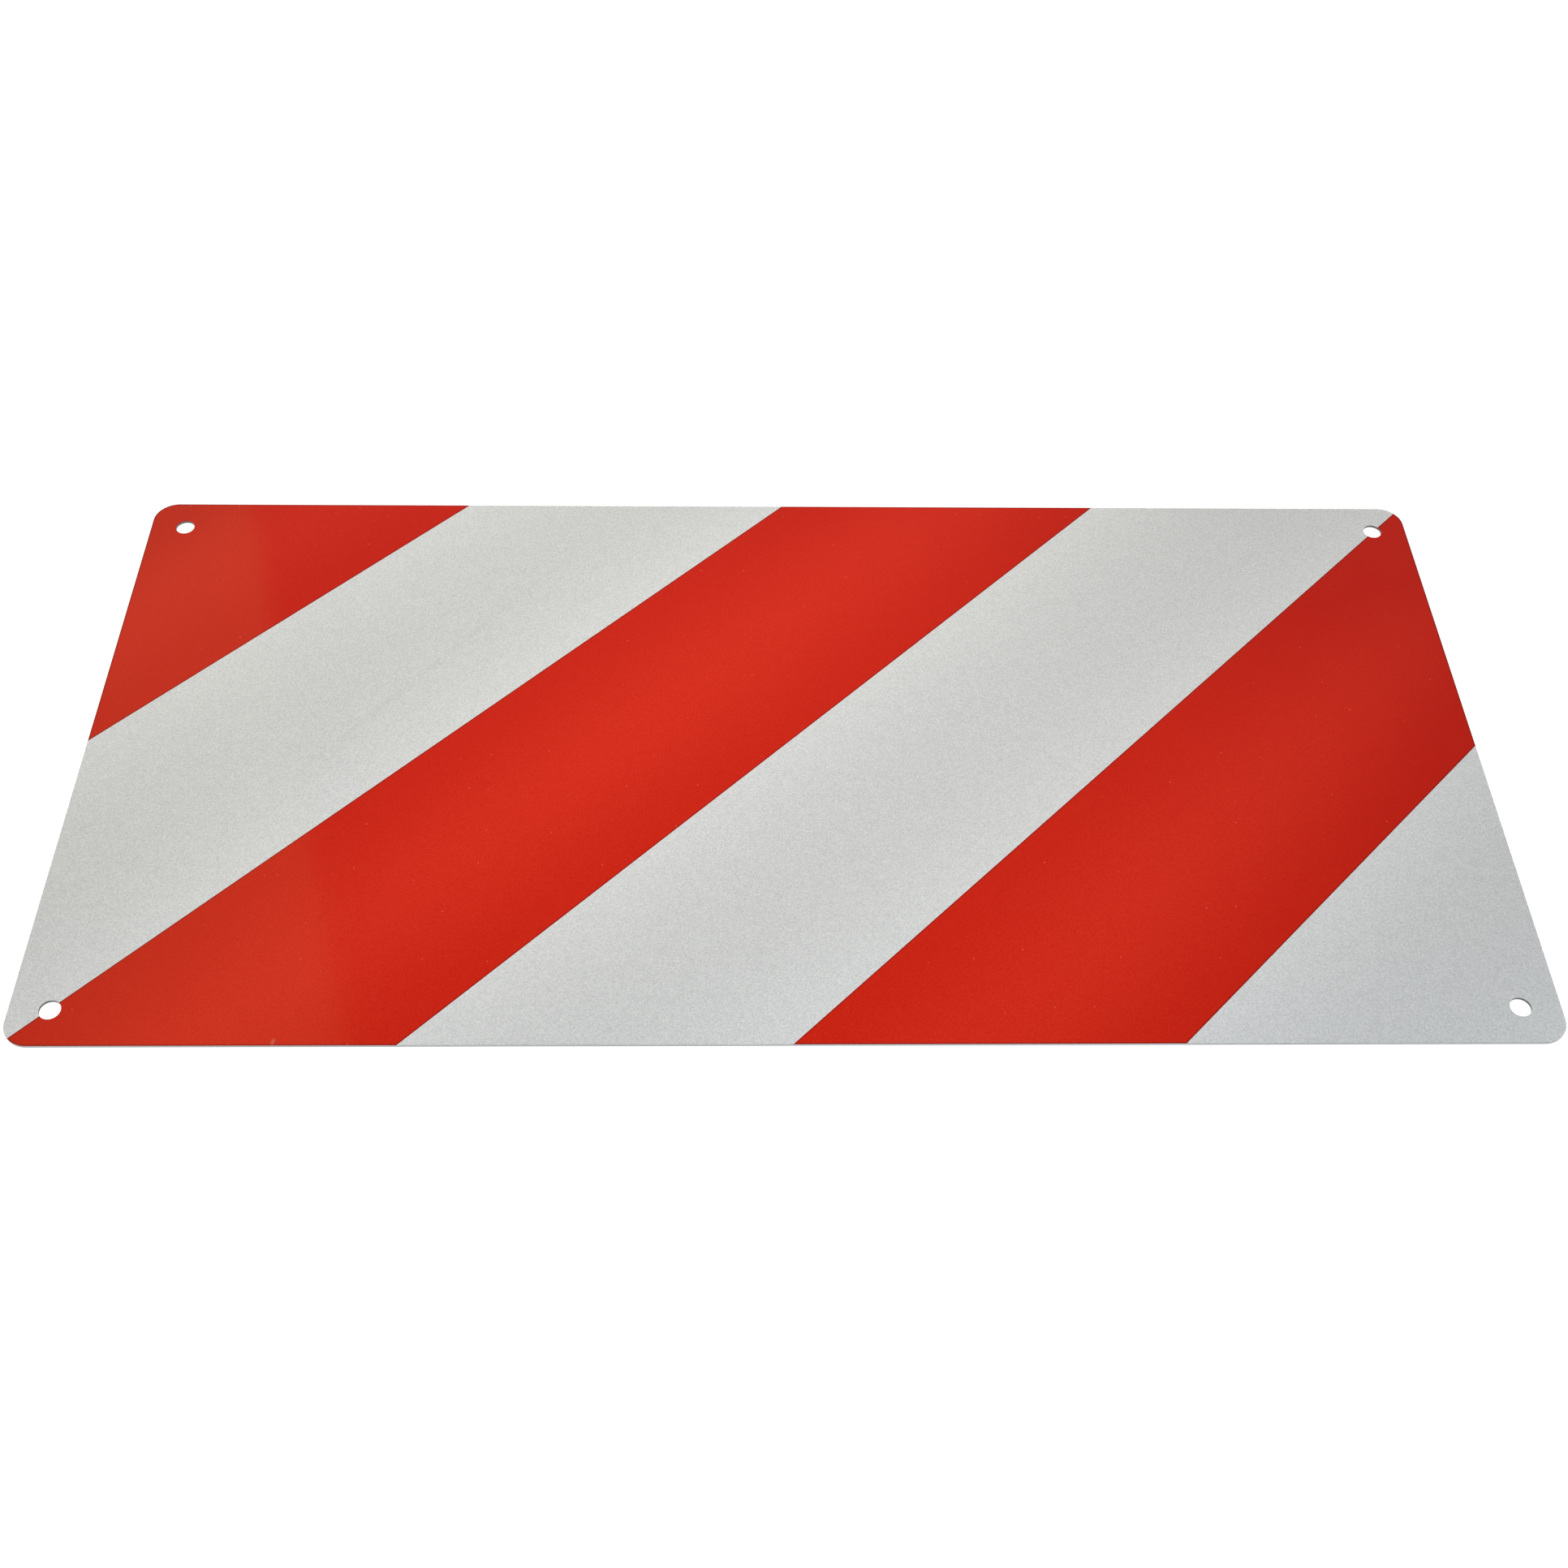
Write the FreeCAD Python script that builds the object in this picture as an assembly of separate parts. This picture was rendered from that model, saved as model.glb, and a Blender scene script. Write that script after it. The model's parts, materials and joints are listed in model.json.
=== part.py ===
# Hazard marker board: a flat sheet-metal plate, faced with one sheet of white
# reflective film that is printed with slanting red bands.
#
# All lengths are in millimetres and all angles in degrees.
# Frame: the origin is the centre of the plate's back face. +X runs along the
# long edge, +Y runs up the board as it is mounted, and +Z points out of the
# reflective face. The board lies on its back face, on the plane Z = 0.

import FreeCAD, Part
import math
import os

from FreeCAD import Vector

# Outline of the blank, which the plate, the film and the print share
BOARD_LENGTH = 564.0
BOARD_HEIGHT = 282.0
CORNER_RADIUS = 10.0

# Layers, from the back face to the front
PLATE_THICKNESS = 1.0
FILM_THICKNESS = 0.2
INK_THICKNESS = 0.05

# The back rims of the punched sheet are deburred to this leg
EDGE_BREAK = 0.15

# One round fixing hole in each corner, placed from the two nearest edges
HOLE_DIAMETER = 8.0
HOLE_FROM_SIDE = 15.0
HOLE_FROM_LONG_EDGE = 15.0

# Red and white bands alternate. Their width is measured square across them, and
# the middle red band's lower edge passes through the centre of the board.
BAND_WIDTH = 100.0
BAND_ANGLE = 45.0

# Heights of the faces between the layers
PLATE_FRONT_Z = PLATE_THICKNESS
FILM_FRONT_Z = PLATE_FRONT_Z + FILM_THICKNESS


def hole_centres():
    """Centres of the corner holes at Z = 0, measured in from the edges."""
    x = BOARD_LENGTH / 2 - HOLE_FROM_SIDE
    y = BOARD_HEIGHT / 2 - HOLE_FROM_LONG_EDGE
    return [Vector(sign_x * x, sign_y * y, 0) for sign_x in (-1, 1) for sign_y in (-1, 1)]


def punched_blank(base_z, thickness):
    """A layer with the shared outline and holes, from base_z upwards."""
    corner = Vector(-BOARD_LENGTH / 2, -BOARD_HEIGHT / 2, base_z)
    layer = Part.makeBox(BOARD_LENGTH, BOARD_HEIGHT, thickness, corner)
    upright_edges = [edge for edge in layer.Edges if edge.BoundBox.ZLength > thickness / 2]
    layer = layer.makeFillet(CORNER_RADIUS, upright_edges)
    for centre in hole_centres():
        punch = Part.makeCylinder(HOLE_DIAMETER / 2, thickness, centre + Vector(0, 0, base_z))
        layer = layer.cut(punch)
    return layer


def backing_plate():
    """The sheet-metal plate, with its back rims and the holes' back rims deburred."""
    plate = punched_blank(0, PLATE_THICKNESS)
    back_rims = [edge for edge in plate.Edges if edge.BoundBox.ZMax < PLATE_THICKNESS / 2]
    return plate.makeChamfer(EDGE_BREAK, back_rims)


def reflective_film():
    """The film, laid on the plate's front face and punched out with it."""
    return punched_blank(PLATE_FRONT_Z, FILM_THICKNESS)


def red_band(index):
    """A strip of ink that is longer than the blank, counted from the board's centre."""
    length = 2 * math.hypot(BOARD_LENGTH, BOARD_HEIGHT)
    first_corner = Vector(-length / 2, 2 * index * BAND_WIDTH, FILM_FRONT_Z)
    strip = Part.makeBox(length, BAND_WIDTH, INK_THICKNESS, first_corner)
    strip.rotate(Vector(0, 0, 0), Vector(0, 0, 1), BAND_ANGLE)
    return strip


def red_print():
    """Every field of red ink, as separate solids on the film's front face."""
    slant = math.radians(BAND_ANGLE)
    reach_across = (BOARD_LENGTH * math.sin(slant) + BOARD_HEIGHT * math.cos(slant)) / 2
    last_band = math.ceil(reach_across / (2 * BAND_WIDTH))
    inked_blank = punched_blank(FILM_FRONT_Z, INK_THICKNESS)
    fields = []
    for index in range(-last_band, last_band + 1):
        fields.extend(inked_blank.common(red_band(index)).Solids)
    return Part.makeCompound(fields)


def export(node, shape):
    """Writes one sub-part and prints what it holds."""
    shape.exportStep(f"parts/{node}.step")
    print(f"{node}: {len(shape.Solids)} solid(s), {shape.Volume:.1f} mm3, valid {shape.isValid()}")


os.makedirs("parts", exist_ok=True)
export("backing_plate", backing_plate())
export("reflective_film", reflective_film())
export("red_print", red_print())
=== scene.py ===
# %% [markdown]
# A hazard marker board: the looks
#
# The board is a flat sheet of aluminium with one sheet of white reflective film
# laid on its front, and slanting red bands printed on the film. The imported model
# already has every piece at its real size, so this script only has to dress it.
# It loads that model first and reads each piece's box from it.

import json
import math

import bmesh
import bpy
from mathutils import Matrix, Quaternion, Vector


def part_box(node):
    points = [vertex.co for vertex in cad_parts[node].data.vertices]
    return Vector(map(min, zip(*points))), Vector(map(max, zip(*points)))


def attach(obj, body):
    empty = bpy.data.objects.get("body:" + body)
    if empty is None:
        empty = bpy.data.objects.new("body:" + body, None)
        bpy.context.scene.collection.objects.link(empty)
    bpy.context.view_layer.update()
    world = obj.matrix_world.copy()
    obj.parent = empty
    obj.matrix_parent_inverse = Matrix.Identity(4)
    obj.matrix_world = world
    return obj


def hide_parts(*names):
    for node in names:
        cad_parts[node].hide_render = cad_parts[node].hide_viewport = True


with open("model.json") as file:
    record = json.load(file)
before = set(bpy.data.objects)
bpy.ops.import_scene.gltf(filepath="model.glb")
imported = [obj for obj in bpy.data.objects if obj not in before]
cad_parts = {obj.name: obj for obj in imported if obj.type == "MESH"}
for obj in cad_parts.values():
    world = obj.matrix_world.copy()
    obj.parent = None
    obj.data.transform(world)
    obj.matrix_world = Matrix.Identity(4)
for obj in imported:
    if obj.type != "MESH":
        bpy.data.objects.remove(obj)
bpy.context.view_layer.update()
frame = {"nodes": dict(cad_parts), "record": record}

# %% [markdown]
# Sizes come from the model
#
# Nothing is measured twice: the outline and the layers are read from the packed
# pieces, and the holes from the mount that describes them. Only the corner radius
# has no number of its own, so it is taken from the film's mesh. Along the lower
# edge the film is straight as far as the corner arcs, so the outermost point
# that still lies on that edge shows where an arc begins.

# %% Read the sizes, in metres
MM = 0.001
SAME_PLACE = 0.001 * MM

plate_low, plate_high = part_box("backing_plate")
film_low, film_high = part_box("reflective_film")
ink_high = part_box("red_print")[1]

BOARD_LENGTH = plate_high.x - plate_low.x
BOARD_HEIGHT = plate_high.y - plate_low.y
PLATE_BACK = plate_low.z
PLATE_FRONT = plate_high.z
FILM_FRONT = film_high.z
INK_FRONT = ink_high.z

holes = next(mount for mount in frame["record"]["mounts"] if mount["name"] == "corner_holes")
HOLE_RADIUS = holes["dims"]["hole_r_mm"] * MM
HOLE_SPACING_X = holes["dims"]["spacing_x_mm"] * MM
HOLE_SPACING_Y = holes["dims"]["spacing_y_mm"] * MM

film_points = [vertex.co for vertex in frame["nodes"]["reflective_film"].data.vertices]
lower_edge = [point.x for point in film_points if point.y - film_low.y < SAME_PLACE]
CORNER_RADIUS = film_high.x - max(lower_edge)

print(f"board {BOARD_LENGTH / MM:.1f} x {BOARD_HEIGHT / MM:.1f} x {INK_FRONT / MM:.2f} mm")
print(f"corner radius {CORNER_RADIUS / MM:.2f} mm, hole radius {HOLE_RADIUS / MM:.2f} mm")

# %% [markdown]
# Two small helpers
#
# Colours are written as the hex values that a picture editor shows. Blender's
# sockets want linear light, so one function turns the first into the second.
# Every node tree here, for shapes and for finishes alike, is built with the other
# function: it adds a node, changes its settings, and fills its sockets with
# plain values or with links from other nodes.

# %% Helpers for colours and node trees
def linear(hex_colour):
    """An sRGB hex colour as linear RGBA."""
    channels = [int(hex_colour[start:start + 2], 16) / 255 for start in (1, 3, 5)]
    return [c / 12.92 if c <= 0.04045 else ((c + 0.055) / 1.055) ** 2.4 for c in channels] + [1.0]


def add(tree, kind, sockets=None, **settings):
    """Adds a node. sockets maps an input's name or number to a value, a link or several links."""
    node = tree.nodes.new(kind)
    for name, value in settings.items():
        setattr(node, name, value)
    for key, value in (sockets or {}).items():
        links = value if isinstance(value, tuple) else (value,)
        for item in links:
            if isinstance(item, bpy.types.NodeSocket):
                tree.links.new(item, node.inputs[key])
            else:
                node.inputs[key].default_value = item
    return node


def new_shape_tree(name, inputs):
    """An empty Geometry Nodes tree with a geometry input and output and the named inputs."""
    tree = bpy.data.node_groups.new(name, "GeometryNodeTree")
    tree.interface.new_socket("Geometry", in_out="INPUT", socket_type="NodeSocketGeometry")
    for label, kind in inputs.items():
        tree.interface.new_socket(label, in_out="INPUT", socket_type="NodeSocket" + kind)
    tree.interface.new_socket("Geometry", in_out="OUTPUT", socket_type="NodeSocketGeometry")
    return tree, tree.nodes.new("NodeGroupInput").outputs


def apply_tree(piece, tree, values):
    """Puts a tree on a piece and sets its inputs by their identifiers."""
    modifier = piece.modifiers.new(tree.name, "NODES")
    modifier.node_group = tree
    for item in tree.interface.items_tree:
        if item.in_out == "INPUT" and item.name in values:
            modifier[item.identifier] = values[item.name]


print("middle grey #808080 in linear light:", round(linear("#808080")[0], 3))

# %% [markdown]
# The blanked sheet
#
# A press cuts the outline and the holes in one stroke, so plate, film and ink all
# share one outline with four round holes. This could be a cube with boolean cuts,
# but then its cut edges would be square and bare. Instead a short line, the
# section of the cut edge, is swept round the outline and round each hole, and the
# rims that the sweep leaves open are filled in to make the front and back faces.
# A change of outline, hole or edge is then a change of one number.

# %% Tree for a blanked sheet
blank_tree, given = new_shape_tree("Blanked sheet", {
    "Length": "Float",
    "Height": "Float",
    "Corner Radius": "Float",
    "Corner Steps": "Int",
    "Hole Radius": "Float",
    "Hole Spacing X": "Float",
    "Hole Spacing Y": "Float",
    "Hole Steps": "Int",
    "Front Level": "Float",
    "Back Level": "Float",
    "Finish": "Material",
})

rectangle = add(blank_tree, "GeometryNodeCurvePrimitiveQuadrilateral",
                {"Width": given["Length"], "Height": given["Height"]})
outline = add(blank_tree, "GeometryNodeFilletCurve",
              {"Curve": rectangle.outputs["Curve"], "Count": given["Corner Steps"],
               "Radius": given["Corner Radius"]}, mode="POLY")

hole_places = add(blank_tree, "GeometryNodeCurvePrimitiveQuadrilateral",
                  {"Width": given["Hole Spacing X"], "Height": given["Hole Spacing Y"]})
hole_circle = add(blank_tree, "GeometryNodeCurvePrimitiveCircle",
                  {"Resolution": given["Hole Steps"], "Radius": given["Hole Radius"]})
# A hole is walked the other way round, so that its edge section points into the sheet.
hole_path = add(blank_tree, "GeometryNodeReverseCurve", {"Curve": hole_circle.outputs["Curve"]})
hole_copies = add(blank_tree, "GeometryNodeInstanceOnPoints",
                  {"Points": hole_places.outputs["Curve"], "Instance": hole_path.outputs["Curve"]})
hole_curves = add(blank_tree, "GeometryNodeRealizeInstances",
                  {"Geometry": hole_copies.outputs["Instances"]})

paths = add(blank_tree, "GeometryNodeJoinGeometry",
            {"Geometry": (outline.outputs["Curve"], hole_curves.outputs["Geometry"])})
level_paths = add(blank_tree, "GeometryNodeSetCurveNormal",
                  {"Curve": paths.outputs["Geometry"]}, mode="Z_UP")
section = add(blank_tree, "GeometryNodeMeshToCurve", {"Mesh": given["Geometry"]})
wall = add(blank_tree, "GeometryNodeCurveToMesh",
           {"Curve": level_paths.outputs["Curve"], "Profile Curve": section.outputs["Curve"]})

# %% [markdown]
# The sweep leaves two open rims round each path: one at the front and one at the
# back. An edge on a rim has a single face beside it, and its height says which
# rim it is. Fill Curve works on the ground plane, so each filled face is lifted
# to its own level before everything is merged into one closed sheet.

# %% Fill the front and the back
MERGE_DISTANCE = 0.002 * MM

faces_beside = add(blank_tree, "GeometryNodeInputMeshEdgeNeighbors")
on_rim = add(blank_tree, "FunctionNodeCompare",
             {2: faces_beside.outputs["Face Count"], 3: 1}, data_type="INT", operation="EQUAL")
place = add(blank_tree, "ShaderNodeSeparateXYZ",
            {"Vector": add(blank_tree, "GeometryNodeInputPosition").outputs["Position"]})
level_sum = add(blank_tree, "ShaderNodeMath",
                {0: given["Front Level"], 1: given["Back Level"]}, operation="ADD")
middle_level = add(blank_tree, "ShaderNodeMath", {0: level_sum.outputs[0], 1: 0.5}, operation="MULTIPLY")

closed_faces = []
for side, level in (("GREATER_THAN", "Front Level"), ("LESS_THAN", "Back Level")):
    past_middle = add(blank_tree, "FunctionNodeCompare",
                      {"A": place.outputs["Z"], "B": middle_level.outputs[0]}, operation=side)
    chosen = add(blank_tree, "FunctionNodeBooleanMath",
                 {0: on_rim.outputs["Result"], 1: past_middle.outputs["Result"]}, operation="AND")
    rim = add(blank_tree, "GeometryNodeMeshToCurve",
              {"Mesh": wall.outputs["Mesh"], "Selection": chosen.outputs["Boolean"]})
    filled = add(blank_tree, "GeometryNodeFillCurve", {"Curve": rim.outputs["Curve"]}, mode="TRIANGLES")
    lifted_to = add(blank_tree, "ShaderNodeCombineXYZ",
                    {"X": place.outputs["X"], "Y": place.outputs["Y"], "Z": given[level]})
    lifted = add(blank_tree, "GeometryNodeSetPosition",
                 {"Geometry": filled.outputs["Mesh"], "Position": lifted_to.outputs["Vector"]})
    closed_faces.append(lifted)

front_face, back_face = closed_faces
turned_back = add(blank_tree, "GeometryNodeFlipFaces", {"Mesh": back_face.outputs["Geometry"]})
shell = add(blank_tree, "GeometryNodeJoinGeometry",
            {"Geometry": (wall.outputs["Mesh"], front_face.outputs["Geometry"],
                          turned_back.outputs["Mesh"])})
sheet = add(blank_tree, "GeometryNodeMergeByDistance",
            {"Geometry": shell.outputs["Geometry"], "Distance": MERGE_DISTANCE})
real_sheet = add(blank_tree, "GeometryNodeRealizeInstances", {"Geometry": sheet.outputs["Geometry"]})
finished_sheet = add(blank_tree, "GeometryNodeSetMaterial",
                     {"Geometry": real_sheet.outputs["Geometry"], "Material": given["Finish"]})
add(blank_tree, "NodeGroupOutput", {"Geometry": finished_sheet.outputs["Geometry"]})
print("blanked sheet tree:", len(blank_tree.nodes), "nodes")

# %% [markdown]
# The red bands
#
# The bands are the one thing on this board that repeats, so they are copies of
# one strip, set out at twice their width on a line across the board and turned
# to their slant together. Where a strip and the blanked coat of ink overlap, ink
# is left: a boolean keeps just that, with the outline and the holes already cut.
# The strips are counted from the board's centre, where a red band ends.

# %% Tree for the printed bands
STRIP_DEPTH = 10 * MM

bands_tree, given = new_shape_tree("Slanting bands", {
    "Band Width": "Float",
    "Band Slant": "Float",
    "Bands Each Side": "Int",
    "Strip Length": "Float",
    "Finish": "Material",
})

pitch = add(bands_tree, "ShaderNodeMath", {0: given["Band Width"], 1: 2.0}, operation="MULTIPLY")
half_width = add(bands_tree, "ShaderNodeMath", {0: given["Band Width"], 1: 0.5}, operation="MULTIPLY")
to_first = add(bands_tree, "ShaderNodeMath",
               {0: given["Bands Each Side"], 1: pitch.outputs[0]}, operation="MULTIPLY")
first_centre = add(bands_tree, "ShaderNodeMath",
                   {0: half_width.outputs[0], 1: to_first.outputs[0]}, operation="SUBTRACT")
strip_count = add(bands_tree, "ShaderNodeMath",
                  {0: given["Bands Each Side"], 1: 2.0, 2: 1.0}, operation="MULTIPLY_ADD")
first_place = add(bands_tree, "ShaderNodeCombineXYZ", {"Y": first_centre.outputs[0]})
step = add(bands_tree, "ShaderNodeCombineXYZ", {"Y": pitch.outputs[0]})
strip_places = add(bands_tree, "GeometryNodeMeshLine",
                   {"Count": strip_count.outputs[0], "Start Location": first_place.outputs["Vector"],
                    "Offset": step.outputs["Vector"]})

strip_size = add(bands_tree, "ShaderNodeCombineXYZ",
                 {"X": given["Strip Length"], "Y": given["Band Width"], "Z": STRIP_DEPTH})
strip = add(bands_tree, "GeometryNodeMeshCube", {"Size": strip_size.outputs["Vector"]})
strips = add(bands_tree, "GeometryNodeInstanceOnPoints",
             {"Points": strip_places.outputs["Mesh"], "Instance": strip.outputs["Mesh"]})
real_strips = add(bands_tree, "GeometryNodeRealizeInstances", {"Geometry": strips.outputs["Instances"]})
slant = add(bands_tree, "ShaderNodeCombineXYZ", {"Z": given["Band Slant"]})
slanted_strips = add(bands_tree, "GeometryNodeTransform",
                     {"Geometry": real_strips.outputs["Geometry"], "Rotation": slant.outputs["Vector"]})
inked = add(bands_tree, "GeometryNodeMeshBoolean",
            {"Mesh 2": (given["Geometry"], slanted_strips.outputs["Geometry"])},
            operation="INTERSECT", solver="EXACT")
real_bands = add(bands_tree, "GeometryNodeRealizeInstances", {"Geometry": inked.outputs["Mesh"]})
finished_bands = add(bands_tree, "GeometryNodeSetMaterial",
                     {"Geometry": real_bands.outputs["Geometry"], "Material": given["Finish"]})
add(bands_tree, "NodeGroupOutput", {"Geometry": finished_bands.outputs["Geometry"]})
print("slanting bands tree:", len(bands_tree.nodes), "nodes")

# %% [markdown]
# Mill-finish aluminium
#
# The plate is cold-rolled aluminium sheet, left as it comes from the mill. Rolling
# draws out fine lines along the sheet, which stretch every reflection across
# them. The cut edge is different: the punch first burnishes it and then tears it,
# so its lower part is duller and rougher. In the bores of the holes the cut edge is
# painted darker than along the outline: painted shade, for the shadow inside the holes.
#
# The next cell starts an empty material, and finds the bores. The board's four
# quarters are alike, so folding them on to one leaves a single hole to look for.

# %% Start a material, and find the bores
BORE_REACH = 1.5 * HOLE_RADIUS


def new_material(name):
    """A material with an empty node tree, and its Object coordinates."""
    material = bpy.data.materials.new(name)
    material.use_nodes = True
    material.node_tree.nodes.clear()
    coordinates = add(material.node_tree, "ShaderNodeTexCoord")
    return material, material.node_tree, coordinates.outputs["Object"]


def one_quarter(tree, spot):
    """The place on the board, with all four quarters folded on to one."""
    flat_place = add(tree, "ShaderNodeVectorMath", {0: spot, 1: [1, 1, 0]}, operation="MULTIPLY")
    folded = add(tree, "ShaderNodeVectorMath", {0: flat_place.outputs["Vector"]}, operation="ABSOLUTE")
    return folded.outputs["Vector"]


def in_bore(tree, spot):
    """1 inside a hole and at its wall, else 0."""
    hole = [HOLE_SPACING_X / 2, HOLE_SPACING_Y / 2, 0]
    away = add(tree, "ShaderNodeVectorMath", {0: one_quarter(tree, spot), 1: hole}, operation="DISTANCE")
    near = add(tree, "ShaderNodeMath", {0: away.outputs["Value"], 1: BORE_REACH}, operation="LESS_THAN")
    return near.outputs[0]


print(f"bores: within {BORE_REACH / MM:.0f} mm of a hole's centre")

# %% [markdown]
# Three noises make the metal's detail: one stretched along the sheet for the
# rolling lines, a slow one for the marks of handling, and a fine one for the torn
# part of the cut edge. The film hides the plate's front, so whatever lies above
# the plate's back is cut edge, and height alone tells the two surfaces apart.

# %% The patterns of the metal
ROLLING_LINE = 0.25 * MM
ROLLING_LINE_LENGTH = 40 * MM
HANDLING_MARK = 30 * MM
TEAR_GRAIN = 0.12 * MM
TORN_SHARE = 0.6
BURNISHED_FROM = PLATE_BACK + TORN_SHARE * (PLATE_FRONT - PLATE_BACK)
BURNISH_BLEND = 0.1 * MM
CUT_FROM = PLATE_BACK + 0.01 * MM
CUT_FULLY_FROM = PLATE_BACK + 0.05 * MM

aluminium, tree, spot = new_material("mill_finish_aluminium")
along_rolling = add(tree, "ShaderNodeMapping",
                    {"Vector": spot, "Scale": [1 / ROLLING_LINE_LENGTH, 1 / ROLLING_LINE, 1 / ROLLING_LINE]})
rolling_lines = add(tree, "ShaderNodeTexNoise",
                    {"Vector": along_rolling.outputs["Vector"], "Scale": 1.0, "Detail": 4.0})
handling_marks = add(tree, "ShaderNodeTexNoise", {"Vector": spot, "Scale": 1 / HANDLING_MARK, "Detail": 3.0})
torn_grain = add(tree, "ShaderNodeTexNoise", {"Vector": spot, "Scale": 1 / TEAR_GRAIN, "Detail": 3.0})
level = add(tree, "ShaderNodeSeparateXYZ", {"Vector": spot})
cut = add(tree, "ShaderNodeMapRange",
          {"Value": level.outputs["Z"], "From Min": CUT_FROM, "From Max": CUT_FULLY_FROM})
burnished = add(tree, "ShaderNodeMapRange",
                {"Value": level.outputs["Z"], "From Min": BURNISHED_FROM - BURNISH_BLEND,
                 "From Max": BURNISHED_FROM})
print(f"rolling lines {ROLLING_LINE / MM} mm apart, burnished from {BURNISHED_FROM / MM:.2f} mm up")

# %% [markdown]
# Clean aluminium is a pale, faintly cool grey. Oxide and handling leave the rolled
# faces a little uneven, and some rolling lines are glossier than others. A metal
# keeps the default IOR.

# %% Material: mill-finish aluminium sheet, rolled and then sheared
GLOSSIEST_LINE = 0.32
DULLEST_LINE = 0.46
TORN_ROUGHNESS = 0.62
BURNISHED_ROUGHNESS = 0.35
METAL_RELIEF = 0.02 * MM

rolled_colour = add(tree, "ShaderNodeMix",
                    {0: handling_marks.outputs["Fac"], 6: linear("#C9CBCC"), 7: linear("#D8DADB")},
                    data_type="RGBA")
outline_colour = add(tree, "ShaderNodeMix",
                     {0: burnished.outputs["Result"], 6: linear("#A6A8AA"), 7: linear("#BCBEC0")},
                     data_type="RGBA")
# Painted shade: inside the bores the cut edge takes a dark grey, for the shadow in the holes.
cut_colour_and_bore_shade = add(tree, "ShaderNodeMix",
                 {0: in_bore(tree, spot), 6: outline_colour.outputs[2], 7: linear("#66686A")},
                 data_type="RGBA")
metal_colour = add(tree, "ShaderNodeMix",
                   {0: cut.outputs["Result"], 6: rolled_colour.outputs[2], 7: cut_colour_and_bore_shade.outputs[2]},
                   data_type="RGBA")
rolled_roughness = add(tree, "ShaderNodeMapRange",
                       {"Value": rolling_lines.outputs["Fac"],
                        "To Min": GLOSSIEST_LINE, "To Max": DULLEST_LINE})
cut_roughness = add(tree, "ShaderNodeMapRange",
                    {"Value": burnished.outputs["Result"],
                     "To Min": TORN_ROUGHNESS, "To Max": BURNISHED_ROUGHNESS})
metal_roughness = add(tree, "ShaderNodeMix",
                      {0: cut.outputs["Result"], 2: rolled_roughness.outputs["Result"],
                       3: cut_roughness.outputs["Result"]})
metal_relief = add(tree, "ShaderNodeMix",
                   {0: cut.outputs["Result"], 2: rolling_lines.outputs["Fac"],
                    3: torn_grain.outputs["Fac"]})
metal_bump = add(tree, "ShaderNodeBump",
                 {"Height": metal_relief.outputs[0], "Strength": 0.3, "Distance": METAL_RELIEF})
metal = add(tree, "ShaderNodeBsdfPrincipled",
            {"Base Color": metal_colour.outputs[2], "Metallic": 1.0,
             "Roughness": metal_roughness.outputs[0], "Normal": metal_bump.outputs["Normal"]})
add(tree, "ShaderNodeOutputMaterial", {"Surface": metal.outputs["BSDF"]})
print("aluminium:", len(tree.nodes), "nodes")

# %% [markdown]
# White reflective film
#
# The film is a layer of glass beads on a bright metal coat, under a clear acrylic
# skin. The beads send headlights back to the driver. By day they only give a soft
# silvery grey-white with a fine grain, and the smooth skin above them mirrors the
# room faintly. So the finish has two layers: a dull, slightly metallic base that
# carries the grain, and a clear coat that carries the gloss. Real beads are about
# 0.08 mm wide, finer than a pixel of the render, so the grain is drawn as coarse
# as the clumps of beads that the eye picks out. A noise seldom leaves the middle
# of its range, so that middle is stretched to make the whole grain, from 0 to 1.
#
# The red ink lies on this film and shows its beads and its gloss, so both layers
# are functions here, and the ink's material calls them too.

# %% Beads under a clear skin
BEAD_CLUMP = 0.7 * MM
MOTTLE = 6 * MM
MOTTLE_SHARE = 0.14
NOISE_LOW = 0.3
NOISE_HIGH = 0.7
BEAD_RELIEF = 0.05 * MM
SKIN_WAVE = 14 * MM
SKIN_RELIEF = 0.1 * MM


def bead_layer(tree, spot):
    """The grain from 0 to 1, the beads' own relief, and the slow waves of the skin."""
    clumps = add(tree, "ShaderNodeTexNoise",
                 {"Vector": spot, "Scale": 1 / BEAD_CLUMP, "Detail": 1.5, "Roughness": 0.6})
    mottle = add(tree, "ShaderNodeTexNoise",
                 {"Vector": spot, "Scale": 1 / MOTTLE, "Detail": 3.0, "Roughness": 0.9})
    waves = add(tree, "ShaderNodeTexNoise", {"Vector": spot, "Scale": 1 / SKIN_WAVE, "Detail": 1.0})
    mixed = add(tree, "ShaderNodeMix",
                {0: MOTTLE_SHARE, 2: clumps.outputs["Fac"], 3: mottle.outputs["Fac"]})
    grain = add(tree, "ShaderNodeMapRange",
                {"Value": mixed.outputs[0], "From Min": NOISE_LOW, "From Max": NOISE_HIGH})
    relief = add(tree, "ShaderNodeBump",
                 {"Height": clumps.outputs["Fac"], "Strength": 0.2, "Distance": BEAD_RELIEF})
    skin = add(tree, "ShaderNodeBump",
               {"Height": waves.outputs["Fac"], "Strength": 0.1, "Distance": SKIN_RELIEF})
    return grain.outputs["Result"], relief.outputs["Normal"], skin.outputs["Normal"]


def beads_under_skin(tree, colour, bead_normal, skin_normal):
    """Finishes a material as dull beads of this colour under a clear acrylic coat."""
    surface = add(tree, "ShaderNodeBsdfPrincipled",
                  {"Base Color": colour, "Metallic": 0.06, "Roughness": 0.7, "Specular IOR Level": 0.0,
                   "Normal": bead_normal, "Coat Weight": 1.0, "Coat Roughness": 0.08, "Coat IOR": 1.49,
                   "Coat Normal": skin_normal})
    add(tree, "ShaderNodeOutputMaterial", {"Surface": surface.outputs["BSDF"]})


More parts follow.
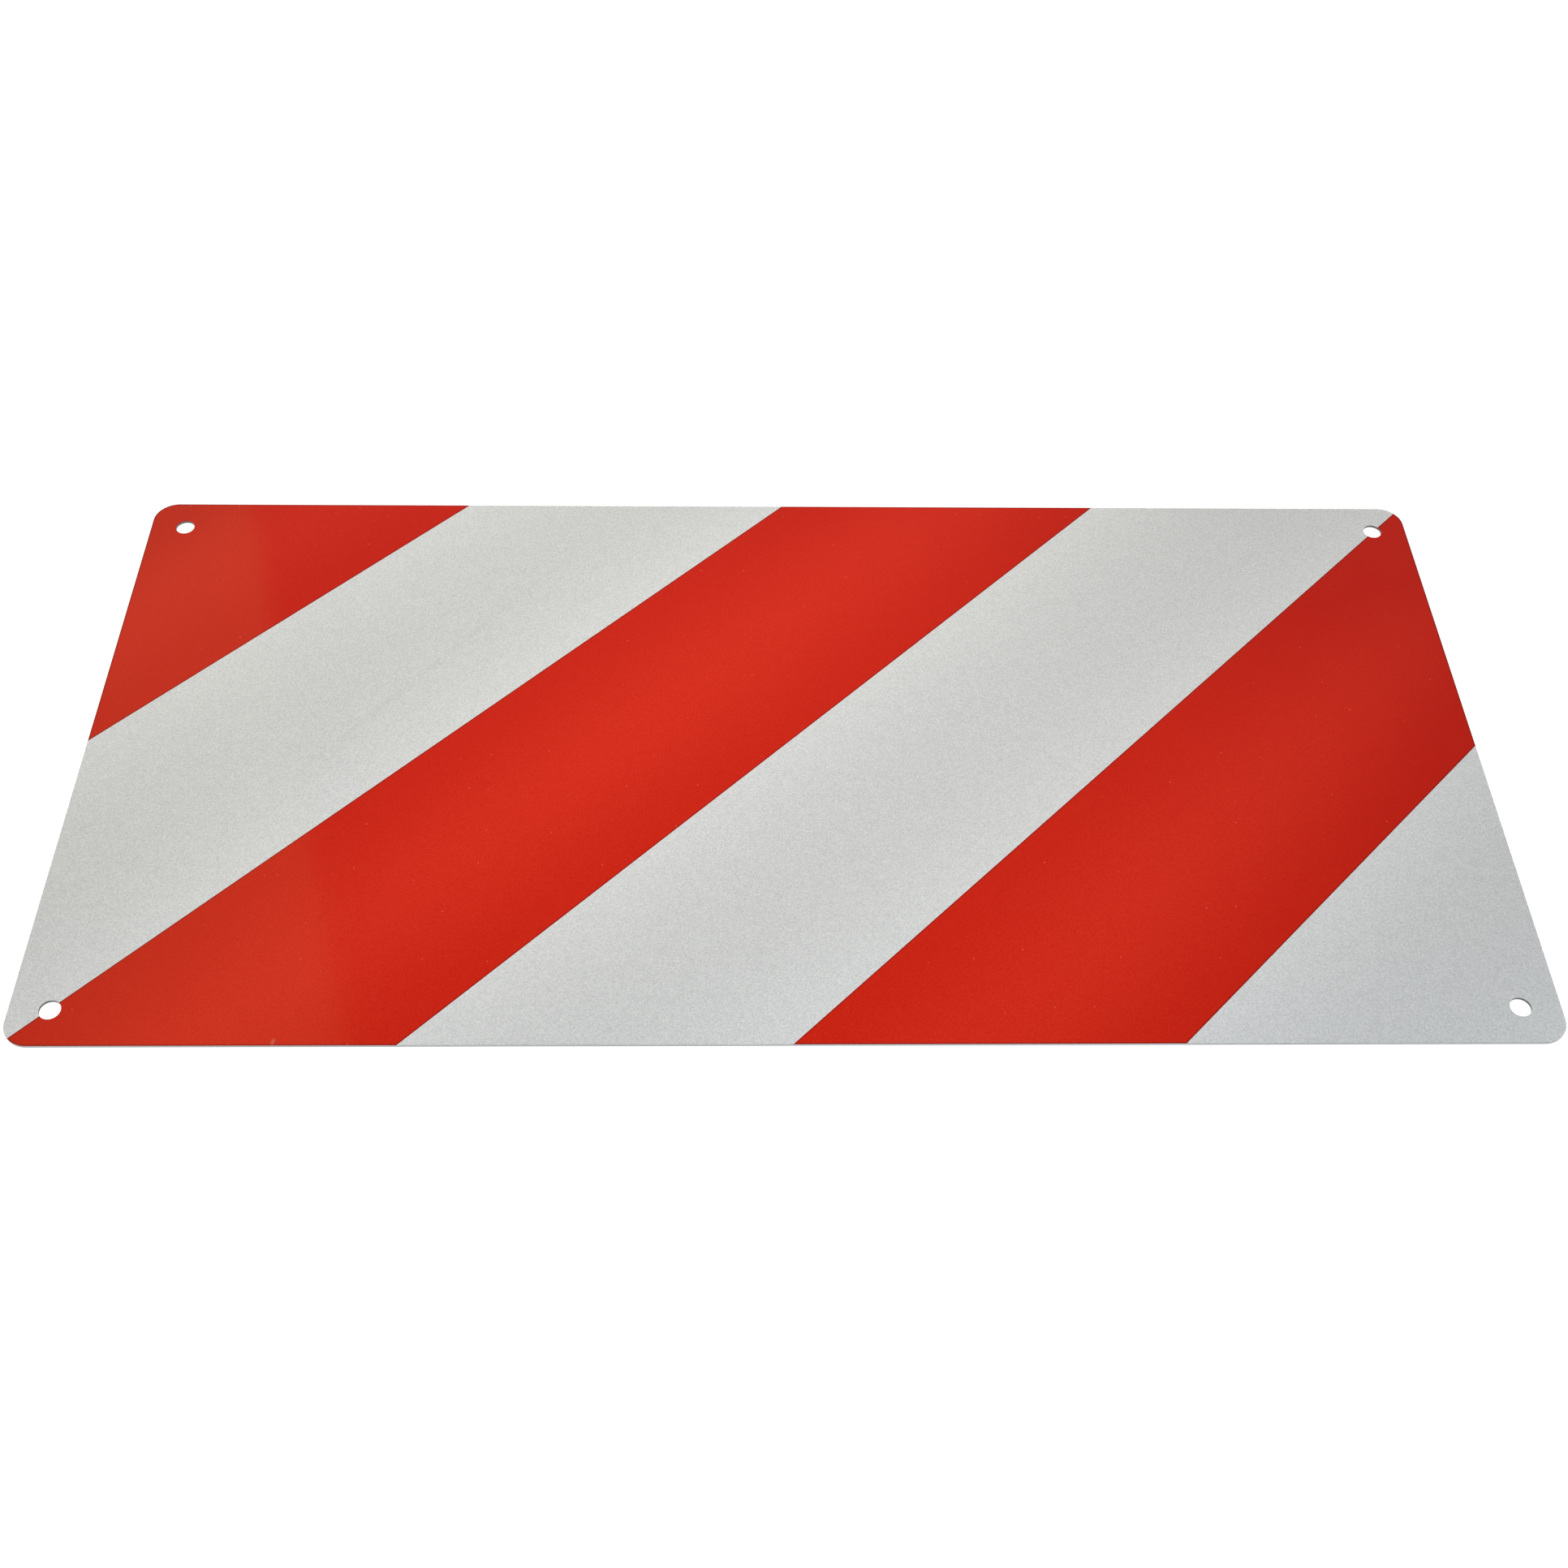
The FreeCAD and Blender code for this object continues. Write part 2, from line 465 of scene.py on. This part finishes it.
print(f"grain {BEAD_CLUMP / MM} mm, mottle {MOTTLE / MM:.0f} mm, waves {SKIN_WAVE / MM:.0f} mm")

# %% [markdown]
# The white isn't quite even. In the photograph it is a few levels brighter beside
# the red than in the middle of a band, and here and there a clump of beads glints.
# Both are painted light: the brightening is painted into the film's colour, and each glint is a painted
# highlight.
# A noise would put the brighter parts anywhere, so they follow the print's layout
# instead. An edge between red and white runs through the board's centre, and all
# the edges are one band's width apart. So once the coordinates are turned to the
# bands' slant, the distance to the nearest multiple of that width is the distance
# to the nearest edge. A glint's rim and core are given as shares of the spacing, and
# a clump only glints where the number that it draws is high enough.

# %% Painted light on the white: brighter towards the print, and glints
BAND_WIDTH = 100 * MM
BAND_SLANT = math.radians(45)
PRINT_REACH = 45 * MM
MIDDLE_SHADE = 0.985
PRINT_GAIN = 0.095
RISE_POWER = 1.6
GLINT_SPACING = 1.6 * MM
GLINT_RIM = 0.24
GLINT_CORE = 0.1
GLINTS_FROM = 0.6
GLINT_COVER = 0.5


def from_band_edge(tree, spot):
    """The distance to the nearest edge between red and white."""
    along_bands = add(tree, "ShaderNodeMapping", {"Vector": spot, "Rotation": [0, 0, -BAND_SLANT]})
    band_place = add(tree, "ShaderNodeSeparateXYZ", {"Vector": along_bands.outputs["Vector"]})
    distance = add(tree, "ShaderNodeMath", {0: band_place.outputs["Y"], 1: BAND_WIDTH / 2},
                   operation="PINGPONG")
    return distance.outputs[0]


film, tree, spot = new_material("beaded_acrylic_film")
grain, bead_normal, skin_normal = bead_layer(tree, spot)
bead_colour = add(tree, "ShaderNodeMix", {0: grain, 6: linear("#C7C8CB"), 7: linear("#E1E2E5")},
                  data_type="RGBA")
# Painted light: the film's colour is drawn brighter towards the red print.
near_print = add(tree, "ShaderNodeMapRange",
                 {"Value": from_band_edge(tree, spot), "From Max": PRINT_REACH,
                  "To Min": 1.0, "To Max": 0.0})
soft_rise = add(tree, "ShaderNodeMath", {0: near_print.outputs["Result"], 1: RISE_POWER},
                operation="POWER")
painted_brightening = add(tree, "ShaderNodeMath", {0: soft_rise.outputs[0], 1: PRINT_GAIN, 2: MIDDLE_SHADE},
                 operation="MULTIPLY_ADD")
colour_with_painted_brightening = add(tree, "ShaderNodeMix", {0: 1.0, 6: bead_colour.outputs[2], 7: painted_brightening.outputs[0]},
                    data_type="RGBA", blend_type="MULTIPLY")

# Painted highlights: sparse clumps of beads are drawn as bright glints in the film's colour.
glints = add(tree, "ShaderNodeTexVoronoi", {"Vector": spot, "Scale": 1 / GLINT_SPACING},
             voronoi_dimensions="2D")
glint_spot = add(tree, "ShaderNodeMapRange",
                 {"Value": glints.outputs["Distance"], "From Min": GLINT_RIM, "From Max": GLINT_CORE})
glint_draw = add(tree, "ShaderNodeSeparateColor", {"Color": glints.outputs["Color"]})
glint_share = add(tree, "ShaderNodeMapRange",
                  {"Value": glint_draw.outputs["Red"], "From Min": GLINTS_FROM, "To Max": GLINT_COVER})
glint = add(tree, "ShaderNodeMath",
            {0: glint_spot.outputs["Result"], 1: glint_share.outputs["Result"]}, operation="MULTIPLY")
colour_with_painted_glints = add(tree, "ShaderNodeMix",
               {0: glint.outputs[0], 6: colour_with_painted_brightening.outputs[2], 7: linear("#F4F4F2")}, data_type="RGBA")
print(f"white beside the print is {PRINT_GAIN / MIDDLE_SHADE:.0%} brighter than in a band's middle")

# %% [markdown]
# Two faint hairlines lie in the left white band: a long one along the band and a
# short one by the board's end. Each is a soft thin spot of a greyer colour,
# stretched to its length. The film's cut edge is a line of sliced beads and glue,
# greyer than the face, and it starts just below the depth to which the punch rolls
# the face over. In the bores the edge is painted dark, as the metal is: painted shade for the holes.

# %% Material: beaded film with a clear acrylic face, cast smooth
ROLL_DEPTH = 0.03 * MM
EDGE_BLEND = 0.02 * MM


def long_mark(tree, spot, centre, angle, length, width, strength):
    """A soft thin spot: strength at its middle and 0 outside it."""
    stretched = add(tree, "ShaderNodeMapping",
                    {"Vector": spot, "Location": [centre[0], centre[1], 0], "Rotation": [0, 0, angle],
                     "Scale": [length / 2, width / 2, 1]}, vector_type="TEXTURE")
    away = add(tree, "ShaderNodeVectorMath", {0: stretched.outputs["Vector"]}, operation="LENGTH")
    mark = add(tree, "ShaderNodeMapRange",
               {"Value": away.outputs["Value"], "From Min": 1.0, "From Max": 0.3, "To Max": strength},
               interpolation_type="SMOOTHSTEP")
    return mark.outputs["Result"]


long_hairline = long_mark(tree, spot, centre=(-157 * MM, 31 * MM), angle=math.radians(51),
                          length=320 * MM, width=4 * MM, strength=0.063)
short_hairline = long_mark(tree, spot, centre=(-273 * MM, -43 * MM), angle=math.radians(38),
                           length=18 * MM, width=4.4 * MM, strength=0.077)
hairlines = add(tree, "ShaderNodeMath", {0: long_hairline, 1: short_hairline}, operation="MAXIMUM")
marked_colour = add(tree, "ShaderNodeMix",
                    {0: hairlines.outputs[0], 6: colour_with_painted_glints.outputs[2], 7: linear("#A4A6A6")},
                    data_type="RGBA")

level = add(tree, "ShaderNodeSeparateXYZ", {"Vector": spot})
cut_edge = add(tree, "ShaderNodeMapRange",
               {"Value": level.outputs["Z"], "From Min": FILM_FRONT - ROLL_DEPTH,
                "From Max": FILM_FRONT - ROLL_DEPTH - EDGE_BLEND})
# Painted shade: in the bores the film's edge takes the same dark grey as the metal.
edge_colour_and_bore_shade = add(tree, "ShaderNodeMix",
                  {0: in_bore(tree, spot), 6: linear("#A4A6A8"), 7: linear("#66686A")}, data_type="RGBA")
film_colour = add(tree, "ShaderNodeMix",
                  {0: cut_edge.outputs["Result"], 6: marked_colour.outputs[2], 7: edge_colour_and_bore_shade.outputs[2]},
                  data_type="RGBA")
beads_under_skin(tree, film_colour.outputs[2], bead_normal, skin_normal)
print("film:", len(tree.nodes), "nodes")

# %% [markdown]
# Red ink
#
# The red is a transparent ink, pressed through a screen on to the film, so the
# beads' grain shows through it and the same gloss lies over it. Thin ink is a
# bright orange red, and where it lies thicker it lets less green and blue back
# out and turns to a deeper red. It is drawn thicker towards the edges of a band,
# and towards the ends and the far side of the board, so the red is deeper there.
# Two painted reds could stand for this, but a thickness that filters one red
# gives every shade in between, as the real ink does.

# %% Thin and thick ink
INK_SHOULDER = 50 * MM
SHOULDER_THICKNESS = 0.47
THINNEST_AT = (-31 * MM, -143 * MM)
THINNING_REACH = (307 * MM, 374 * MM)
END_THICKNESS = 0.5
END_POWER = 3.0

ink, tree, spot = new_material("screen_printed_red_ink")
grain, bead_normal, skin_normal = bead_layer(tree, spot)
thin_ink = add(tree, "ShaderNodeMix", {0: grain, 6: linear("#D52513"), 7: linear("#E03320")},
               data_type="RGBA")
from_edge = from_band_edge(tree, spot)
shoulder = add(tree, "ShaderNodeMapRange",
               {"Value": from_edge, "From Max": INK_SHOULDER, "To Min": SHOULDER_THICKNESS, "To Max": 0.0},
               interpolation_type="SMOOTHSTEP")
from_thinnest = add(tree, "ShaderNodeMapping",
                    {"Vector": spot, "Location": [THINNEST_AT[0], THINNEST_AT[1], 0],
                     "Scale": [THINNING_REACH[0], THINNING_REACH[1], 1]}, vector_type="TEXTURE")
outward = add(tree, "ShaderNodeVectorMath", {0: from_thinnest.outputs["Vector"]}, operation="LENGTH")
towards_ends = add(tree, "ShaderNodeMath", {0: outward.outputs["Value"], 1: END_POWER}, operation="POWER")
thickness = add(tree, "ShaderNodeMath",
                {0: towards_ends.outputs[0], 1: END_THICKNESS, 2: shoulder.outputs["Result"]},
                operation="MULTIPLY_ADD")
deepening = add(tree, "ShaderNodeMix",
                {0: thickness.outputs[0], 6: linear("#FFFFFF"), 7: linear("#E79959")}, data_type="RGBA")
deep_ink = add(tree, "ShaderNodeMix", {0: 1.0, 6: thin_ink.outputs[2], 7: deepening.outputs[2]},
               data_type="RGBA", blend_type="MULTIPLY")
print(f"ink thins from a band's edge over {INK_SHOULDER / MM:.0f} mm")

# %% [markdown]
# The last 0.7 mm at each edge of the ink is drawn as a darker line, along the
# bands' edges and along the cut. The distance to a band's edge is known already.
# For the cut the outline counts as a rectangle with round corners, so a point's
# distance beyond the corner arcs' centres says how far it is from the cut.

# %% The dark line at the ink's edges
INK_RIM = 0.7 * MM
DARKEST_TO = 0.5 * INK_RIM
RIM_SHADE = 0.6

arc_centre = [BOARD_LENGTH / 2 - CORNER_RADIUS, BOARD_HEIGHT / 2 - CORNER_RADIUS, 0]
beyond = add(tree, "ShaderNodeVectorMath", {0: one_quarter(tree, spot), 1: arc_centre},
             operation="SUBTRACT")
beyond_arc = add(tree, "ShaderNodeVectorMath", {0: beyond.outputs["Vector"], 1: [0, 0, 0]},
                 operation="MAXIMUM")
arc_distance = add(tree, "ShaderNodeVectorMath", {0: beyond_arc.outputs["Vector"]}, operation="LENGTH")
from_cut = add(tree, "ShaderNodeMath", {0: CORNER_RADIUS, 1: arc_distance.outputs["Value"]},
               operation="SUBTRACT")
nearest_edge = add(tree, "ShaderNodeMath", {0: from_edge, 1: from_cut.outputs[0]},
                   operation="MINIMUM")
rim = add(tree, "ShaderNodeMapRange",
          {"Value": nearest_edge.outputs[0], "From Min": DARKEST_TO, "From Max": INK_RIM,
           "To Min": RIM_SHADE})
ink_colour = add(tree, "ShaderNodeMix", {0: 1.0, 6: deep_ink.outputs[2], 7: rim.outputs["Result"]},
                 data_type="RGBA", blend_type="MULTIPLY")
print(f"dark line {INK_RIM / MM} mm wide")

# %% [markdown]
# A few specks of dust lie on the board, and only show against the red. One scuff
# crosses the front edge, where the board has been knocked. Both are pale and thin,
# so the red still shows through them: a speck covers half of it at most.

# %% Material: transparent red ink, screen printed on the film
DUST_SPACING = 20 * MM
DUST_RADIUS = 0.25 * MM
DUST_CORE = 0.4 * DUST_RADIUS
DUST_FROM = 0.35
DUST_COVER = 0.5

dust = add(tree, "ShaderNodeTexVoronoi", {"Vector": spot, "Scale": 1 / DUST_SPACING},
           voronoi_dimensions="2D")
dust_draw = add(tree, "ShaderNodeSeparateColor", {"Color": dust.outputs["Color"]})
dust_share = add(tree, "ShaderNodeMapRange",
                 {"Value": dust_draw.outputs["Green"], "From Min": DUST_FROM, "To Max": DUST_COVER})
dust_spot = add(tree, "ShaderNodeMapRange",
                {"Value": dust.outputs["Distance"], "From Min": DUST_RADIUS / DUST_SPACING,
                 "From Max": DUST_CORE / DUST_SPACING})
speck = add(tree, "ShaderNodeMath",
            {0: dust_spot.outputs["Result"], 1: dust_share.outputs["Result"]}, operation="MULTIPLY")
scuff = long_mark(tree, spot, centre=(-185 * MM, -139.5 * MM), angle=math.radians(80),
                  length=4 * MM, width=2 * MM, strength=0.14)
cover = add(tree, "ShaderNodeMath", {0: speck.outputs[0], 1: scuff}, operation="MAXIMUM")
dusty_colour = add(tree, "ShaderNodeMix",
                   {0: cover.outputs[0], 6: ink_colour.outputs[2], 7: linear("#E0CCB8")},
                   data_type="RGBA")
beads_under_skin(tree, dusty_colour.outputs[2], bead_normal, skin_normal)
print("ink:", len(tree.nodes), "nodes")

# %% [markdown]
# Sections of the cut edges
#
# A punch presses the sheet down before it cuts it, so every front face rolls over
# into the edge in a small curve, and the film and the ink go down with the metal.
# Below the curve the edge runs straight where the punch burnished it, then leans
# in by a hair where the metal tore, and ends in the small chamfer of the
# deburring tool. Each section below is a list of points, from the front face to
# the back face: how far in from the outline, and at what level. A narrow flat
# strip at each end keeps the faces' smooth shading flat right up to the curve.
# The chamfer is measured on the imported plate: its lowest points start that far in.

# %% The three sections
ROLL_WIDTH = 0.25 * MM
ROLL_STEPS = 4
FLAT_STRIP = 0.2 * MM
TEAR_LEAN = 0.02 * MM

plate_points = [vertex.co for vertex in frame["nodes"]["backing_plate"].data.vertices]
back_points = [point.y for point in plate_points if point.z - PLATE_BACK < SAME_PLACE]
EDGE_BREAK = min(back_points) - plate_low.y


def rolled_rim(level):
    """The last strip of a face and its curve down to the cut edge, from the inside out."""
    drops = [(ROLL_WIDTH * (1 - step / ROLL_STEPS), level - ROLL_DEPTH * (step / ROLL_STEPS) ** 2)
             for step in range(ROLL_STEPS + 1)]
    return [(ROLL_WIDTH + FLAT_STRIP, level)] + drops


cut_metal = [
    (0, BURNISHED_FROM),
    (TEAR_LEAN, PLATE_BACK + EDGE_BREAK),
    (EDGE_BREAK, PLATE_BACK),
    (EDGE_BREAK + FLAT_STRIP, PLATE_BACK),
]
plate_section = rolled_rim(PLATE_FRONT) + cut_metal
film_section = rolled_rim(FILM_FRONT) + rolled_rim(PLATE_FRONT)[::-1]
ink_section = rolled_rim(INK_FRONT) + rolled_rim(FILM_FRONT)[::-1]
print(f"edge break {EDGE_BREAK / MM:.2f} mm; points in a section:",
      len(plate_section), len(film_section), len(ink_section))

# %% [markdown]
# The three pieces
#
# A piece starts as its section alone, drawn as a chain of edges. The sweep reads
# the drawing's X as outwards and its Y as downwards, so both are given with a
# minus sign. The trees then do the rest, and their result is turned into a plain
# mesh: smooth, with a crease wherever two faces meet at more than 30 degrees.
# Signed volume is a quick test of a closed mesh: it is only right, and above
# zero, when every face points outwards.

# %% Draw a section, and turn a finished piece into a plain mesh
CREASE = math.radians(30)


def section_piece(name, section):
    """A new object that holds only the section of its edge."""
    mesh = bpy.data.meshes.new(name)
    points = [(-inset, -level, 0) for inset, level in section]
    mesh.from_pydata(points, [(index, index + 1) for index in range(len(points) - 1)], [])
    piece = bpy.data.objects.new(name, mesh)
    bpy.context.scene.collection.objects.link(piece)
    return piece


def settle(piece):
    """Turns what the trees make into the piece's own mesh and removes the trees."""
    finished = piece.evaluated_get(bpy.context.evaluated_depsgraph_get())
    mesh = bpy.data.meshes.new_from_object(finished)
    mesh.name = piece.name
    piece.modifiers.clear()
    piece.data = mesh
    mesh.shade_smooth()
    mesh.set_sharp_from_angle(angle=CREASE)
    shell = bmesh.new()
    shell.from_mesh(mesh)
    open_edges = sum(not edge.is_manifold for edge in shell.edges)
    volume = shell.calc_volume(signed=True) / MM ** 3
    shell.free()
    print(f"{piece.name}: {len(mesh.polygons)} faces, {open_edges} open edges, {volume:.1f} mm3")


# %% [markdown]
# Plate, film and ink go through the same tree, each between its own two levels.
# The ink then goes through the second tree, which leaves only the bands of it. The
# strips are longer than the board's diagonal, so that no band stops short of the
# outline, and two strips on each side of the middle one reach past both ends.

# %% Make the plate, the film and the ink
CORNER_STEPS = 24
HOLE_STEPS = 64
BANDS_EACH_SIDE = 2


def blank_values(front, back, finish):
    """The inputs of the blanked sheet between two levels."""
    return {
        "Length": BOARD_LENGTH,
        "Height": BOARD_HEIGHT,
        "Corner Radius": CORNER_RADIUS,
        "Corner Steps": CORNER_STEPS,
        "Hole Radius": HOLE_RADIUS,
        "Hole Spacing X": HOLE_SPACING_X,
        "Hole Spacing Y": HOLE_SPACING_Y,
        "Hole Steps": HOLE_STEPS,
        "Front Level": front,
        "Back Level": back,
        "Finish": finish,
    }


plate_sheet = section_piece("plate_sheet", plate_section)
apply_tree(plate_sheet, blank_tree, blank_values(PLATE_FRONT, PLATE_BACK, aluminium))

film_sheet = section_piece("film_sheet", film_section)
apply_tree(film_sheet, blank_tree, blank_values(FILM_FRONT, PLATE_FRONT, film))

ink_bands = section_piece("ink_bands", ink_section)
apply_tree(ink_bands, blank_tree, blank_values(INK_FRONT, FILM_FRONT, ink))
apply_tree(ink_bands, bands_tree, {
    "Band Width": BAND_WIDTH,
    "Band Slant": BAND_SLANT,
    "Bands Each Side": BANDS_EACH_SIDE,
    "Strip Length": 2 * math.hypot(BOARD_LENGTH, BOARD_HEIGHT),
    "Finish": ink,
})

for piece in (plate_sheet, film_sheet, ink_bands):
    settle(piece)

# %% [markdown]
# What each piece stands for
#
# The board is one rigid thing, so every piece rides on its only body. Each piece
# stands for one imported solid, which is hidden.

# %% Tie the pieces to the model
stand_ins = (
    (plate_sheet, "backing_plate", "bare_aluminium"),
    (film_sheet, "reflective_film", "white_reflective_film"),
    (ink_bands, "red_print", "red_ink"),
)
for piece, node, finish in stand_ins:
    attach(piece, "root")
    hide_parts(node)
print("pieces tied to the body root:", len(stand_ins))

# %% [markdown]
# The floor
#
# The board lies on its back on a sheet of pale paper. Seen directly or in a mirror
# image, most of the paper's light is an even white glow, so that the ground reads
# as white without any more light on the board. The rest is what the lamps give
# the paper, and with it the board's thin shadow stays. Together they come to just
# about white: a much brighter ground would eat into the board's outline, because
# a pixel that is half board and half ground would turn white as well.

# %% A white paper floor
FLOOR_SIZE = 6.0
FLOOR_GAP = 0.02 * MM
GLOW_SHARE = 0.72
GLOW_STRENGTH = 1.3
PAPER_FIBRE = 2 * MM


def seen_directly(tree):
    """A value that is 1 for camera rays, mirror rays and rays through glass, and else 0."""
    path = add(tree, "ShaderNodeLightPath")
    mirrored = add(tree, "ShaderNodeMath",
                   {0: path.outputs["Is Glossy Ray"], 1: path.outputs["Is Transmission Ray"]},
                   operation="MAXIMUM")
    seen = add(tree, "ShaderNodeMath",
               {0: path.outputs["Is Camera Ray"], 1: mirrored.outputs[0]}, operation="MAXIMUM")
    return seen.outputs[0]


paper, tree, spot = new_material("white_paper")
fibre = add(tree, "ShaderNodeTexNoise", {"Vector": spot, "Scale": 1 / PAPER_FIBRE, "Detail": 3.0})
paper_colour = add(tree, "ShaderNodeMix",
                   {0: fibre.outputs["Fac"], 6: linear("#E6E6E6"), 7: linear("#EAEAEA")},
                   data_type="RGBA")
lit_paper = add(tree, "ShaderNodeBsdfPrincipled",
                {"Base Color": paper_colour.outputs[2], "Roughness": 0.9, "Specular IOR Level": 0.2})
glow = add(tree, "ShaderNodeEmission", {"Color": linear("#FFFFFF"), "Strength": GLOW_STRENGTH})
glow_share = add(tree, "ShaderNodeMath", {0: seen_directly(tree), 1: GLOW_SHARE}, operation="MULTIPLY")
glowing_paper = add(tree, "ShaderNodeMixShader",
                    {0: glow_share.outputs[0], 1: lit_paper.outputs["BSDF"], 2: glow.outputs["Emission"]})
add(tree, "ShaderNodeOutputMaterial", {"Surface": glowing_paper.outputs["Shader"]})

half = FLOOR_SIZE / 2
ground = PLATE_BACK - FLOOR_GAP
corners = [(x, y, ground) for x, y in ((-half, -half), (half, -half), (half, half), (-half, half))]
floor_mesh = bpy.data.meshes.new("floor")
floor_mesh.from_pydata(corners, [], [(0, 1, 2, 3)])
floor_mesh.materials.append(paper)
floor = bpy.data.objects.new("floor", floor_mesh)
bpy.context.scene.collection.objects.link(floor)
print(f"floor: {FLOOR_SIZE:.0f} m square")

# %% [markdown]
# The room
#
# White walls round the board give it an even light, a touch cooler than a lamp.
# The backdrop is white. Gloss needs something to mirror: there the room is white
# at the floor and turns grey above, darkest overhead, so the far side of the board
# mirrors a little more light than the near side. Light Path lets one world do all
# three: the camera sees the white, a mirror image sees the greys, and every other
# ray meets the even light. Z of a direction is the sine of its height.

# %% A studio room
ROOM_FILL = 0.3
CEILING_EDGE = "#94887F"
OVERHEAD = "#3C3834"
CEILING_FROM = math.sin(math.radians(14))
OVERHEAD_FROM = math.sin(math.radians(40))
OVERHEAD_TO = math.sin(math.radians(62))

world = bpy.data.worlds.new("studio")
world.use_nodes = True
world.node_tree.nodes.clear()
tree = world.node_tree
direction = add(tree, "ShaderNodeTexCoord")
upward = add(tree, "ShaderNodeSeparateXYZ", {"Vector": direction.outputs["Generated"]})
to_ceiling = add(tree, "ShaderNodeMapRange",
                 {"Value": upward.outputs["Z"], "From Min": 0.0, "From Max": CEILING_FROM})
to_overhead = add(tree, "ShaderNodeMapRange",
                  {"Value": upward.outputs["Z"], "From Min": OVERHEAD_FROM, "From Max": OVERHEAD_TO})
walls = add(tree, "ShaderNodeMix",
            {0: to_ceiling.outputs["Result"], 6: linear("#FFFFFF"), 7: linear(CEILING_EDGE)},
            data_type="RGBA")
room_mirrored = add(tree, "ShaderNodeMix",
                    {0: to_overhead.outputs["Result"], 6: walls.outputs[2], 7: linear(OVERHEAD)},
                    data_type="RGBA")
room_fill = [channel * ROOM_FILL for channel in linear("#EEF7FF")]
room_light = add(tree, "ShaderNodeMix",
                 {0: seen_directly(tree), 6: room_fill, 7: room_mirrored.outputs[2]}, data_type="RGBA")
path = add(tree, "ShaderNodeLightPath")
room = add(tree, "ShaderNodeMix",
           {0: path.outputs["Is Camera Ray"], 6: room_light.outputs[2], 7: linear("#FFFFFF")},
           data_type="RGBA")
background = add(tree, "ShaderNodeBackground", {"Color": room.outputs[2], "Strength": 1.0})
add(tree, "ShaderNodeOutputWorld", {"Surface": background.outputs["Background"]})
bpy.context.scene.world = world
print("room:", len(tree.nodes), "nodes")

# %% [markdown]
# The lamps
#
# One soft lamp hangs above the board. It is near and small, so the board falls off
# in brightness towards its ends, as it does in the photograph. Weak, cooler
# daylight comes from a window behind the camera. Neither of them shows in mirror
# images, because the film's skin is so smooth that the key lamp, seen from
# straight above, would stand on the print as a hard white square. A dim softbox
# far on the left does show there, and its soft edge crosses the left half of the
# board as a faint haze.

# %% The key lamp, the daylight and the softbox
def soft_lamp(name, place, turn, width, depth, power, colour, mirrored):
    """A rectangular lamp that faces straight down. mirrored says if mirror images show it."""
    lamp = bpy.data.lights.new(name, "AREA")
    lamp.shape = "RECTANGLE"
    lamp.size = width
    lamp.size_y = depth
    lamp.energy = power
    lamp.color = linear(colour)[:3]
    holder = bpy.data.objects.new(name, lamp)
    holder.location = place
    holder.rotation_euler = (0, 0, turn)
    holder.visible_glossy = mirrored
    bpy.context.scene.collection.objects.link(holder)
    return holder


key_lamp = soft_lamp("key_lamp", place=(-0.049, 0.068, 0.78), turn=0, width=0.2, depth=0.2,
                     power=4.57, colour="#FFF9E9", mirrored=False)
daylight = soft_lamp("daylight", place=(0.15, -0.6, 0.6), turn=0, width=0.3, depth=0.2,
                     power=1.06, colour="#B3D7FF", mirrored=False)
softbox = soft_lamp("softbox", place=(-0.99, 1.09, 1.4), turn=math.radians(16), width=0.7, depth=1.6,
                    power=1.05, colour="#FFF0A0", mirrored=True)
print("lamps:", key_lamp.name, daylight.name, softbox.name)

# %% [markdown]
# Camera
#
# The photograph looks down on the board from in front, at about 51 degrees, and
# the board fills the whole width of the frame. The camera's place, its aim, its
# small roll and its focal length come from matching the edges of the bands.

# %% Place the camera
FOCAL_LENGTH_MM = 41.81
SENSOR_WIDTH_MM = 36.0
CAMERA_ROLL = math.radians(1.55)

camera_place = Vector((-0.0169, -0.4780, 0.56615))
camera_aim = Vector((-0.0014, -0.0213, 0.00125))
lens = bpy.data.cameras.new("camera")
lens.sensor_width = SENSOR_WIDTH_MM
lens.lens = FOCAL_LENGTH_MM
camera = bpy.data.objects.new("camera", lens)
level_view = (camera_aim - camera_place).to_track_quat("-Z", "Y")
camera.rotation_euler = (level_view @ Quaternion((0, 0, 1), CAMERA_ROLL)).to_euler()
camera.location = camera_place
bpy.context.scene.collection.objects.link(camera)
bpy.context.scene.camera = camera
bpy.context.scene.view_settings.view_transform = "Standard"
print(f"camera {(camera_place - camera_aim).length:.3f} m from its aim, lens {FOCAL_LENGTH_MM} mm")
